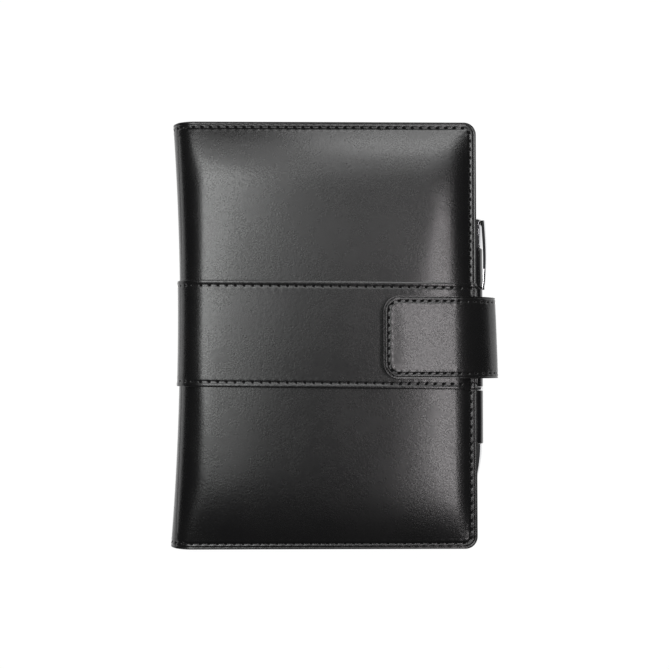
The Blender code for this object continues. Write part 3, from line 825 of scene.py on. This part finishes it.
def lay_lining(half):
    """The lining of one cover, or of the spine's middle."""
    has_end = half != "spine"
    u_range = (SPINE_SEAM, PANEL if has_end else -SPINE_SEAM)
    piece = cut_flat(half + "_inner_lining", u_range, HALF_LENGTH, 2.4)
    if has_end:
        round_end(piece, PANEL, HALF_LENGTH, CORNER)

    def rule(u, v, inner):
        return FACES[half](u, v, LINING_LIFT - LINING * inner, 0.0)

    form(piece, rule, 0.2, lining_leather)
    nodes = (half + "_lining",) if has_end else ("spine_lower_lining", "spine_upper_lining")
    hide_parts(*nodes)
    bend(piece, half, LINING_LIFT - LINING, 0.0)
    return piece


for half in ("front", "back", "spine"):
    tell(lay_lining(half))

# %% [markdown]
# ## The band
#
# A broad band with turned edges is sewn right round the cover. The turned edge is thicker, so it stands
# as a soft ridge outside each row of stitches. It lies a little out of square, as on the real one.

# %% Band
BAND_LIFT = 1.1
BAND_STITCH = 2.75
BAND_PITCH = 4.45
BAND_PULL = {"press": 0.14, "rim": 0.08, "pucker": 0.04, "size": (0.55, 0.42)}
BAND_CORNER = 1.2
BAND_END_SEAM = 3.3
BAND_TURNED, TURNED_AT, TURNED_WIDE = 0.20, 0.9, 0.7
BAND_PAST = 0.2
BAND_Y = -0.4
band_ends = BAND_HALF - BAND_STITCH


def lay_band(half):
    """The band over one cover, or round the spine's middle, slanting across it."""
    has_end = half != "spine"
    u_end = PANEL + BAND_PAST if has_end else -SPINE_SEAM

    def laid(u, v, lift):
        x, _, z = FACES[half](u, v, BAND_LIFT + lift)
        return x, v + BAND_Y - x * BAND_SLANT, z

    seams = side_rows(SPINE_SEAM, u_end, band_ends, BAND_PITCH)
    if has_end:
        u_seam = PANEL - BAND_END_SEAM
        seams.append(Seam([(u_seam, band_ends), (u_seam, -band_ends)], STITCH_PITCH))
    piece = cut_flat(
        half + "_band_leather",
        (SPINE_SEAM, u_end),
        BAND_HALF,
        2.2,
        lambda u, v: (BAND_HALF - np.abs(v) < 5.0) | ((PANEL - u < 5.5) & has_end),
        5,
    )
    if has_end:
        round_end(piece, u_end, BAND_HALF, BAND_CORNER)

    def rule(u, v, inner):
        sewn, holes = sewn_rows(seams, u, v, **BAND_PULL)
        turned = BAND_TURNED * np.exp(-(((BAND_HALF - np.abs(v) - TURNED_AT) / TURNED_WIDE) ** 2))
        sewn = sewn + turned + 0.5 * unevenness(u + 40.0, v)
        if has_end:
            sewn = sewn + creased(u_end - u, 1.3)
        lift = sewn * (1.0 - inner) - (BAND_LIFT - 0.05) * inner
        return *laid(u, v, lift), holes

    form(piece, rule, 0.36, cover_leather)
    nodes = (half + "_band",) if has_end else ("spine_lower_band", "spine_upper_band")
    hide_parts(*nodes)
    bend(piece, half, BAND_LIFT)
    thread = sew(half + "_band_stitches", seams, laid)
    bend(thread, half, BAND_LIFT)
    return piece


for half in ("front", "back", "spine"):
    tell(lay_band(half))

# %% [markdown]
# ## The strap
#
# The strap is sewn under the back rim, rounds the fore edge well clear of the pen, and ends in a tab
# with rounded corners that snaps to the front. Two leathers are sewn together with a creased line just
# inside the edge. It bends at its root and again where the tab lifts, so it is laid in two lengths.

# %% Shape of the strap
STRAP_Y = -1.8
STRAP_HALF_WIDTH = 20.9
STRAP_MIDDLE = 18.1
STRAP_HALF = 16.9
STRAP_BEND = (61.5, 23.6)
STRAP_ROOT = (73.45, 11.65)
STRAP_RADIUS = 18.95
STRAP_TIGHT = 1.15
TAB_END = -37.0
STRAP_SPLIT = math.radians(100) * STRAP_RADIUS
STRAP_END = math.pi * STRAP_RADIUS
STRAP_LEATHER = 1.1
STRAP_THICK = 2.3
STRAP_GAP = 0.15
STRAP_EDGE = 0.34
STRAP_PITCH = 3.85
STRAP_INSET = 2.6
STRAP_PULL = {"press": 0.17, "hole": 0.5, "rim": 0.09, "pucker": 0.06, "size": (0.66, 0.42)}
STRAP_PAD = 0.12
STRAP_SKEW = 0.7
TAB_SLOPE = 0.075
TAB_CORNER = 8.0
SNAP_U = -19.0
TAB_FOLD, ROOT_FOLD = (66, 16), (176, 140)


def strap_face(u, v, lift):
    """A point of the strap, by its run past the flat tab, across it, and off its outer face."""
    turn = np.clip(u, 0.0, STRAP_END) / STRAP_RADIUS
    low = turn > math.pi / 2
    middle = np.where(low, STRAP_ROOT[0], STRAP_BEND[0])
    reach = np.where(low, STRAP_ROOT[1], STRAP_BEND[1])
    power = np.where(low, 1.0, STRAP_TIGHT)
    sine, cosine = np.sin(turn), np.cos(turn)
    out_x, out_z = sine / reach, cosine / STRAP_HALF
    size = np.hypot(out_x, out_z)
    x = middle + np.clip(u, None, 0.0) + reach * sine**power + lift * out_x / size
    z = STRAP_MIDDLE + STRAP_HALF * np.sign(cosine) * np.abs(cosine) ** power + lift * out_z / size
    past_snap = np.clip(u, None, 0.0) - SNAP_U + STRAP_RADIUS * sine
    down = TAB_SLOPE * past_snap * np.clip(cosine, 0.0, None)
    skew = STRAP_SKEW * v / STRAP_HALF_WIDTH * sine
    return x - skew, v + STRAP_Y, z - down


tab_v = STRAP_HALF_WIDTH - STRAP_INSET
tab_middle = (TAB_END + TAB_CORNER, TAB_CORNER - STRAP_HALF_WIDTH)
tab_path = round_path((STRAP_SPLIT, -tab_v), tab_middle, TAB_CORNER - STRAP_INSET, 180.0)
tab_seam = Seam(tab_path, STRAP_PITCH)
side_seams = side_rows(STRAP_SPLIT, STRAP_END, tab_v, STRAP_PITCH)


def strap_edge(u, v, has_tab):
    """Distance to the strap's outline."""
    aside = STRAP_HALF_WIDTH - np.abs(v)
    return to_outline(u - TAB_END, aside, TAB_CORNER) if has_tab else aside


def strap_relief(u, v, seams, has_tab):
    """Sewing, the creased line inside the edge, and a slight pad between the seams."""
    sewn, holes = sewn_rows(seams, u, v, **STRAP_PULL)
    edge = strap_edge(u, v, has_tab)
    height = sewn + creased(edge, 0.85, 0.26)
    return height + STRAP_PAD * ease((edge - 3.0) / 8.0) - STRAP_PAD, holes


def strap_bend(piece, has_tab):
    """Bake the transform of one length of the strap into its mesh."""
    for turn in TAB_FOLD if has_tab else ROOT_FOLD:
        place = strap_face(np.array([math.radians(turn) * STRAP_RADIUS]), np.array([0.0]), 0.0)
    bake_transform(piece)


def lay_strap(part, run, seams, outer):
    """The outer leather or the lining of one length of the strap."""
    has_tab = part == "tab"
    piece = cut_flat(
        f"strap_{part}_outer" if outer else f"strap_{part}_inner",
        run,
        STRAP_HALF_WIDTH,
        1.9,
        lambda u, v: strap_edge(u, v, has_tab) < 5.0,
        6,
    )
    if has_tab:
        round_end(piece, TAB_END, STRAP_HALF_WIDTH, TAB_CORNER)
    under = STRAP_LEATHER if outer else STRAP_THICK

    def rule(u, v, inner):
        plain = (-STRAP_LEATHER - STRAP_GAP, 0.0 * u)
        top, holes = strap_relief(u, v, seams, has_tab) if outer else plain
        return *strap_face(u, v, top * (1.0 - inner) - under * inner), holes

    if outer:
        form(piece, rule, STRAP_EDGE, cover_leather)
        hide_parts(f"strap_{part}_leather")
    else:
        form(piece, rule, STRAP_EDGE, lining_leather)
        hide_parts(f"strap_{part}_lining")
    strap_bend(piece, has_tab)


# %% Strap leather, lining and stitches
lengths = {
    "tab": ((TAB_END, STRAP_SPLIT), [tab_seam]),
    "side": ((STRAP_SPLIT, STRAP_END), side_seams),
}
for part, (run, seams) in lengths.items():
    for outer in (True, False):
        lay_strap(part, run, seams, outer)
for part, (_, seams) in lengths.items():
    strap_bend(sew(f"strap_{part}_stitches", seams, strap_face), part == "tab")
print("strap: leather, lining and", tab_seam.count + 2 * side_seams[0].count, "stitches")

# %% [markdown]
# ## Small leather: root, loop and sleeves
#
# The strap's end is sewn down under the back rim, a loop of the same leather holds the pen, and a sleeve
# inside each cover takes the notebook's card. They are cut flat and formed like the rest. The sleeves
# are sewn on three sides, and their open edge has a pressed hem.

# %% Strap root and pen loop
PEN_X, PEN_Z, PEN_PUSH = 73.6, 15.3, 1.2
ROOT_X, ROOT_Z, ROOT_RUN, ROOT_HALF = 67.3, 1.2, 5.85, 20.9
ROOT_SEAM, ROOT_SEAM_HALF = 1.5, 18.4

root_seam = Seam([(ROOT_SEAM, -ROOT_SEAM_HALF), (ROOT_SEAM, ROOT_SEAM_HALF)], STRAP_PITCH)
strap_root = cut_flat("strap_root_leather", (0.0, ROOT_RUN), ROOT_HALF, 0.65)


def root_rule(u, v, inner):
    sewn, holes = root_seam.relief(u, v)
    return ROOT_X + u, v + STRAP_Y, ROOT_Z - sewn * (1.0 - inner) + STRAP_THICK * inner, holes


form(strap_root, root_rule, 0.3, cover_leather)
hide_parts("strap_root")
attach(strap_root, "back_cover")

LOOP_OUTER, LOOP_WALL, LOOP_FOOT, LOOP_HALF = 6.1, 0.8, 3.3, 16.0
LOOP_TURN = math.radians(352)
loop_run = LOOP_FOOT + LOOP_TURN * LOOP_OUTER
pen_loop = cut_flat("pen_loop_leather", (0.0, loop_run), LOOP_HALF, 0.9)


def loop_rule(u, v, inner):
    turn = np.clip(u - LOOP_FOOT, 0.0, None) / LOOP_OUTER - math.pi / 2
    radius = LOOP_OUTER - LOOP_WALL * inner
    edge = to_outline(loop_run - u, LOOP_HALF - np.abs(v), 0.1)
    radius = radius + creased(edge, 1.0, 0.15) * (1.0 - inner)
    straight = np.clip(LOOP_FOOT - u, 0.0, None)
    return PEN_X - straight + radius * np.cos(turn), v + STRAP_Y, PEN_Z + radius * np.sin(turn)


form(pen_loop, loop_rule, 0.2, cover_leather)
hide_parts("pen_loop")
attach(pen_loop, "back_cover")
print("strap root and pen loop laid")

# %% Sleeves
SLEEVE_X, SLEEVE_HALF, SLEEVE_CORNER, SLEEVE_SEAM = (11.8, 71.8), 108.5, 5.0, 1.5
SLEEVE_OUT, SLEEVE_LEATHER, SLEEVE_WIDE, SLEEVE_PITCH = 6.3, 0.7, 4.0, 4.0
SLEEVE_PULL = {"press": 0.1, "hole": 0.3, "rim": 0.05, "pucker": 0.05}
sleeve_middle = (SLEEVE_X[1] - SLEEVE_CORNER, SLEEVE_HALF - SLEEVE_CORNER)
sleeve_start = (SLEEVE_X[0], SLEEVE_HALF - SLEEVE_SEAM)
sleeve_seam = Seam(round_path(sleeve_start, sleeve_middle, SLEEVE_CORNER - SLEEVE_SEAM), SLEEVE_PITCH)


def lay_sleeve(half, up):
    """The sleeve of one cover, its face towards the pages."""

    def laid(u, v, lift):
        return u, v, MIDDLE_Z + up * (lift - SLEEVE_OUT)

    piece = cut_flat(
        half + "_sleeve",
        SLEEVE_X,
        SLEEVE_HALF,
        2.5,
        lambda u, v: (SLEEVE_X[1] - u < SLEEVE_WIDE) | (SLEEVE_HALF - np.abs(v) < SLEEVE_WIDE),
        4,
    )
    round_end(piece, SLEEVE_X[1], SLEEVE_HALF, SLEEVE_CORNER)

    def rule(u, v, inner):
        sewn, holes = sleeve_seam.relief(u, v, **SLEEVE_PULL)
        hem = creased(u - SLEEVE_X[0], 3.0, 0.12)
        return *laid(u, v, (sewn + hem) * (1.0 - inner) - SLEEVE_LEATHER * inner), holes

    form(piece, rule, 0.2, lining_leather)
    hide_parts(half + "_pocket")
    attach(piece, half + "_cover")
    thread = sew(half + "_sleeve_stitches", [sleeve_seam], laid, sunk=0.2)
    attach(thread, half + "_cover")
    return piece


for half, up in (("front", -1.0), ("back", 1.0)):
    tell(lay_sleeve(half, up))

# %% [markdown]
# ## The leaves
#
# The notebook is a sewn block. Its cut edge shows where one folded section ends and the next begins, so
# one section is cut with round fore corners and an Array stacks it. Each section is then pushed a hair
# in or out, as sections never line up quite true.

# %% Page block
SECTIONS = 12
SECTION_STEP, SECTION_THICK, SECTION_SHIFT = 1.0, 0.93, (0.14, 0.10)
LEAF_X, LEAF_HALF, LEAF_CORNER, LEAF_CELL = (-73.3, 67.2), 105.0, 5.0, 10.0
LEAF_BOTTOM, FIRST_TOP = 9.3, 10.25
pages = cut_flat(
    "notebook_leaves",
    LEAF_X,
    LEAF_HALF,
    LEAF_CELL,
    lambda u, v: (LEAF_X[1] - u < LEAF_CELL) & (LEAF_HALF - np.abs(v) < LEAF_CELL),
    7,
)
round_end(pages, LEAF_X[1], LEAF_HALF, LEAF_CORNER)
form(pages, lambda u, v, inner: (u, v, FIRST_TOP - SECTION_THICK * inner), 0.12, paper)
apply_modifier(
    pages,
    "ARRAY",
    count=SECTIONS,
    use_relative_offset=False,
    use_constant_offset=True,
    constant_offset_displace=(0.0, 0.0, SECTION_STEP * MM),
)
leaf_points = points_of(pages)
section = np.floor((leaf_points[:, 2] - LEAF_BOTTOM) / SECTION_STEP)
leaf_points[:, 0] += SECTION_SHIFT[0] * np.sin(section * 2.4) - SECTION_SHIFT[0]
leaf_points[:, 1] += SECTION_SHIFT[1] * np.sin(section * 4.1 + 1.0)
set_points(pages, leaf_points)
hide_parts("page_block")
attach(pages, "back_cover")
tell(pages)

# %% [markdown]
# ## Turned metal
#
# The pen and the snap are lathe work. A ring of points is extruded from station to station and resized
# at each, which is how a profile is turned. Bored pieces come back up the bore and join their first ring.


# %% Lathe helper
LATHE_SIDES = 56


def turn_piece(name, stations, bored, finish, node, body, middle=(PEN_X, PEN_Z), upright=False):
    """Turn a profile of (place, radius) stations about the pen's axis, or about an upright one."""

    def on_axis(place):
        along = (middle[0], place + PEN_PUSH, middle[1])
        return Vector((middle[0], middle[1], place) if upright else along) * MM

    bpy.ops.object.select_all(action="DESELECT")
    bpy.ops.mesh.primitive_circle_add(
        vertices=LATHE_SIDES,
        radius=stations[0][1] * MM,
        location=on_axis(stations[0][0]),
        rotation=(0.0 if upright else math.pi / 2, 0.0, 0.0),
    )
    piece = bpy.context.object
    piece.name = name
    piece.data.name = name
    bpy.ops.object.transform_apply(location=True, rotation=True, scale=True)
    bpy.context.tool_settings.mesh_select_mode = (False, True, False)
    bpy.ops.object.mode_set(mode="EDIT")
    bpy.ops.mesh.select_all(action="SELECT")
    for (place, radius), (next_place, next_radius) in zip(stations[:-1], stations[1:]):
        step = on_axis(next_place) - on_axis(place)
        grow = next_radius / radius
        bpy.ops.mesh.extrude_region_move(TRANSFORM_OT_translate={"value": step})
        bpy.ops.transform.resize(
            value=(grow, grow, 1.0) if upright else (grow, 1.0, grow),
            center_override=on_axis(next_place),
        )
    bpy.ops.mesh.select_all(action="DESELECT")
    bpy.ops.mesh.select_non_manifold(extend=False)
    if bored:
        bpy.ops.mesh.bridge_edge_loops()
    else:
        bpy.ops.mesh.fill_holes(sides=0)
    bpy.ops.mesh.select_all(action="SELECT")
    bpy.ops.mesh.normals_make_consistent(inside=False)
    bpy.ops.object.mode_set(mode="OBJECT")
    smooth(piece, 35, finish)
    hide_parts(node)
    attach(piece, body)
    return piece


print("lathe ready")

# %% Pen
DOME_TURNS = np.radians(range(0, 91, 15))
dome = [(58.4 + 1.6 * math.cos(turn), 3.0 + 1.6 * math.sin(turn)) for turn in DOME_TURNS]
cap = dome + [(45.0, 4.6), (44.75, 4.45), (44.3, 4.45), (44.3, 3.7), (57.4, 3.7), (57.41, 0.2)]
turn_piece("pen_cap_shell", [(60.0, 0.2)] + cap, False, pen_chrome, "pen_cap", "pen_upper")


def barrel(top, end):
    """Stations of a lacquered tube with eased ends."""
    eased = [(0.0, 4.4), (0.1, 4.52), (0.35, 4.6)]
    outside = [(top - way, radius) for way, radius in eased]
    outside += [(end + way, radius) for way, radius in eased[::-1]]
    return outside + [(end, 3.7), (top, 3.7)]


turn_piece("pen_upper_tube", barrel(44.0, -28.5), True, pen_lacquer, "pen_upper_barrel", "pen_upper")
turn_piece("pen_lower_tube", barrel(-30.5, -58.1), True, pen_lacquer, "pen_lower_barrel", "pen_lower")
centre_ring = [(-28.8, 4.5), (-28.95, 4.64), (-29.2, 4.7), (-29.8, 4.7), (-30.05, 4.64), (-30.2, 4.5)]
centre_ring += [(-30.2, 3.8), (-28.8, 3.8)]
turn_piece("pen_centre_ring", centre_ring, True, pen_chrome, "pen_ring", "pen_upper")
flare = [
    (-77.0 + 18.6 * share, 1.2 + 2.8 * math.sin(math.pi / 2 * share) ** 0.9)
    for share in (step / 10 for step in range(10, -1, -1))
]
cone_bore = [(-77.0, 0.8), (-72.35, 0.8), (-70.45, 1.9), (-58.4, 1.9)]
turn_piece("pen_cone", flare + cone_bore, True, pen_chrome, "pen_tip_cone", "pen_lower")
refill = [(43.1, 1.45), (42.9, 1.6), (-66.55, 1.6), (-68.15, 0.5), (-76.4, 0.5), (-76.6, 0.3)]
turn_piece("pen_refill_tube", refill, False, refill_brass, "pen_refill", "pen_refill_body")
print("pen turned")

# %% [markdown]
# ## The clip
#
# The clip is a strip of spring metal, crowned across its width and narrower towards its end, where it
# dips to the barrel. It is cut flat and formed like the leather.

# %% Pen clip
CLIP_TURN = math.radians(42)
CLIP_TOP, CLIP_RUN, CLIP_HALF = 58.7, 36.5, 1.7
CLIP_INNER, CLIP_OUTER, CLIP_FOOT = 5.7, 6.7, 0.78
CLIP_BOW, CLIP_CROWN, CLIP_DIP, CLIP_TAPER = 0.9, 0.60, 0.75, 0.30
clip = cut_flat("pen_spring_clip", (0.0, CLIP_RUN), CLIP_HALF, 0.5)
round_end(clip, CLIP_RUN, CLIP_HALF, 1.4)
round_end(clip, 0.0, CLIP_HALF, 0.6)


def clip_rule(u, v, inner):
    narrow = 1.0 - CLIP_TAPER * ease((u - 4.0) / 26.0)
    dip = CLIP_DIP * np.exp(-(((u - CLIP_RUN + 1.6) / 1.3) ** 2))
    held = 1.0 - ease((u - 1.8) / 1.6)
    bow = CLIP_BOW * np.sin(math.pi * u / CLIP_RUN)
    crown = CLIP_OUTER + bow - CLIP_CROWN * (v / CLIP_HALF) ** 2 - 0.35 * dip
    radius = crown * (1.0 - inner) + (CLIP_INNER + bow - dip - CLIP_FOOT * held) * inner
    aside = v * narrow
    x = PEN_X + radius * math.cos(CLIP_TURN) - aside * math.sin(CLIP_TURN)
    z = PEN_Z + radius * math.sin(CLIP_TURN) + aside * math.cos(CLIP_TURN)
    return x, CLIP_TOP + PEN_PUSH - u, z


form(clip, clip_rule, 0.12, pen_chrome)
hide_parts("pen_clip")
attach(clip, "pen_upper")
tell(clip)

# %% [markdown]
# ## The snap
#
# A thin magnetic snap holds the tab. The stud is riveted to the front cover and the socket to the
# tab's underside, where it follows the tab's slope.

# %% Snap halves
SNAP_AT = (42.5, STRAP_Y)
stud = [(30.9, 6.6), (31.1, 6.9), (31.3, 6.9), (31.42, 6.6), (31.42, 4.0)]
stud += [(31.3, 3.8), (31.3, 1.6), (31.42, 1.4)]
turn_piece("snap_stud_disc", stud, False, snap_nickel, "snap_stud", "front_cover", SNAP_AT, True)
socket = [(32.35, 5.6), (32.2, 5.9), (32.1, 5.9), (32.0, 5.6), (32.0, 3.6), (32.15, 3.4), (32.15, 1.2)]
disc = turn_piece("snap_socket_disc", socket, False, snap_nickel, "snap_socket", "strap_tab", SNAP_AT, True)
lean = points_of(disc)
lean[:, 2] -= TAB_SLOPE * (lean[:, 0] - SNAP_AT[0])
set_points(disc, lean)
print("snap turned")

# %% [markdown]
# ## What the frame already has right
#
# The boards and cards have their true shape in the frame. They only need their finishes.

# %% Finishes on the frame's own pieces
kept = {
    "front_board": grey_board,
    "back_board": grey_board,
    "notebook_front_card": black_card,
    "notebook_back_card": black_card,
    "notebook_spine_strip": black_card,
}
for name, finish in kept.items():
    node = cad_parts[name]
    node.data.materials.clear()
    node.data.materials.append(finish)
print("frame pieces kept:", len(kept))
